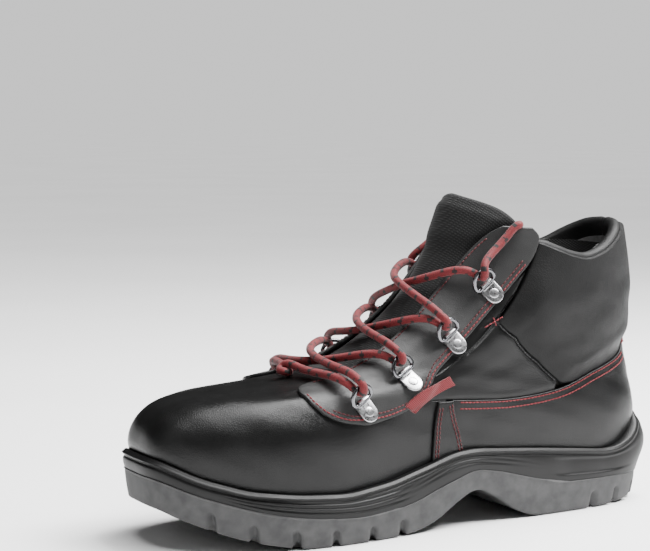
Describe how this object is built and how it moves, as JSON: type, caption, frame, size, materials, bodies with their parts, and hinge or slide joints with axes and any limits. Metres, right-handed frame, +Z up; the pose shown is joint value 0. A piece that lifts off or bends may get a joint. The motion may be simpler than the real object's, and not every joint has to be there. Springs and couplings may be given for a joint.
{
  "type": "steel toe work boot",
  "caption": "Ankle-height left safety boot: lasted leather upper with padded collar, laced D-ring facings, steel toe cap, two-density sole with a heel block.",
  "frame": {"origin": "on the ground under the heel, in the middle of the heel tread", "axes": "+X to the toe, +Y to the outer side of the left foot, +Z up"},
  "size_m": [0.3088, 0.1111, 0.1811],
  "materials": {
    "outsole_pu": "matt moulded polyurethane, mid grey",
    "midsole_pu": "satin moulded polyurethane, black",
    "plate_steel": "rolled steel sheet",
    "board": "fibre board",
    "footbed_fabric": "textile over foam",
    "toe_cap_steel": "pressed steel with a thin coating",
    "stiffener": "resin-stiffened felt",
    "lining": "black mesh textile",
    "leather": "black smooth leather, semi-gloss",
    "facing_leather": "black smooth leather, satin",
    "collar_leather": "black soft leather, matt",
    "foam": "open-cell foam",
    "tongue_textile": "black padded textile",
    "tab_textile": "red woven tape",
    "ring_steel": "dark nickel plated wire",
    "clip_steel": "nickel plated sheet",
    "lace_cord": "round braid, red with black flecks",
    "aglet": "clear black film"
  },
  "bodies": {
    "boot": {"outsole": "outsole_pu", "midsole": "midsole_pu", "puncture_plate": "plate_steel", "insole_board": "board", "toe_cap": "toe_cap_steel", "heel_stiffener": "stiffener", "vamp_lining": "lining", "shaft_lining": "lining", "vamp": "leather", "quarter_lateral": "leather", "quarter_medial": "leather", "heel_counter": "leather", "collar_lateral": "collar_leather", "collar_medial": "collar_leather", "collar_foam": "foam", "back_strip": "leather", "facing_lateral": "facing_leather", "facing_medial": "facing_leather", "strap_lateral": "leather", "strap_medial": "leather", "tongue": "tongue_textile", "side_tab": "tab_textile", "clips_lateral": "clip_steel", "clips_medial": "clip_steel", "rivets_lateral": "clip_steel", "rivets_medial": "clip_steel", "lace": "lace_cord", "lace_aglets": "aglet"},
    "tongue_tip": {"tongue_tip": "tongue_textile"},
    "footbed": {"footbed": "footbed_fabric"},
    "ring_lateral_1": {"ring_lateral_1": "ring_steel"},
    "ring_lateral_2": {"ring_lateral_2": "ring_steel"},
    "ring_lateral_3": {"ring_lateral_3": "ring_steel"},
    "ring_lateral_4": {"ring_lateral_4": "ring_steel"},
    "ring_medial_1": {"ring_medial_1": "ring_steel"},
    "ring_medial_2": {"ring_medial_2": "ring_steel"},
    "ring_medial_3": {"ring_medial_3": "ring_steel"},
    "ring_medial_4": {"ring_medial_4": "ring_steel"}
  },
  "joints": [
    {"name": "tongue_fold", "type": "hinge", "parent": "boot", "child": "tongue_tip", "pos_m": [0.08754, 0, 0.14077], "axis": [0, 1, 0], "range_deg": [-4, 18]},
    {"name": "footbed_lift", "type": "slide", "parent": "boot", "child": "footbed", "axis": [0, 0, 1], "range_m": [0, 0.004]},
    {"name": "ring_lateral_1_swing", "type": "hinge", "parent": "boot", "child": "ring_lateral_1", "pos_m": [0.15315, 0.04639, 0.07488], "axis": [0.8646, 0.1789, -0.4695], "range_deg": [-5, 5]},
    {"name": "ring_lateral_2_swing", "type": "hinge", "parent": "boot", "child": "ring_lateral_2", "pos_m": [0.12355, 0.03911, 0.08755], "axis": [0.8738, 0.2237, -0.4317], "range_deg": [-5, 5]},
    {"name": "ring_lateral_3_swing", "type": "hinge", "parent": "boot", "child": "ring_lateral_3", "pos_m": [0.09378, 0.03617, 0.1055], "axis": [0.8149, 0.0324, -0.5787], "range_deg": [-5, 5]},
    {"name": "ring_lateral_4_swing", "type": "hinge", "parent": "boot", "child": "ring_lateral_4", "pos_m": [0.06947, 0.0342, 0.13144], "axis": [0.7534, -0.0868, -0.6518], "range_deg": [-5, 5]},
    {"name": "ring_medial_1_swing", "type": "hinge", "parent": "boot", "child": "ring_medial_1", "pos_m": [0.15265, -0.04747, 0.07436], "axis": [-0.8706, 0.2064, 0.4466], "range_deg": [-5, 5]},
    {"name": "ring_medial_2_swing", "type": "hinge", "parent": "boot", "child": "ring_medial_2", "pos_m": [0.12336, -0.03977, 0.08734], "axis": [-0.8746, 0.2283, 0.4277], "range_deg": [-5, 5]},
    {"name": "ring_medial_3_swing", "type": "hinge", "parent": "boot", "child": "ring_medial_3", "pos_m": [0.09372, -0.03628, 0.10548], "axis": [-0.8178, 0.0392, 0.5741], "range_deg": [-5, 5]},
    {"name": "ring_medial_4_swing", "type": "hinge", "parent": "boot", "child": "ring_medial_4", "pos_m": [0.06947, -0.03421, 0.13145], "axis": [-0.7539, -0.0859, 0.6513], "range_deg": [-5, 5]}
  ]
}
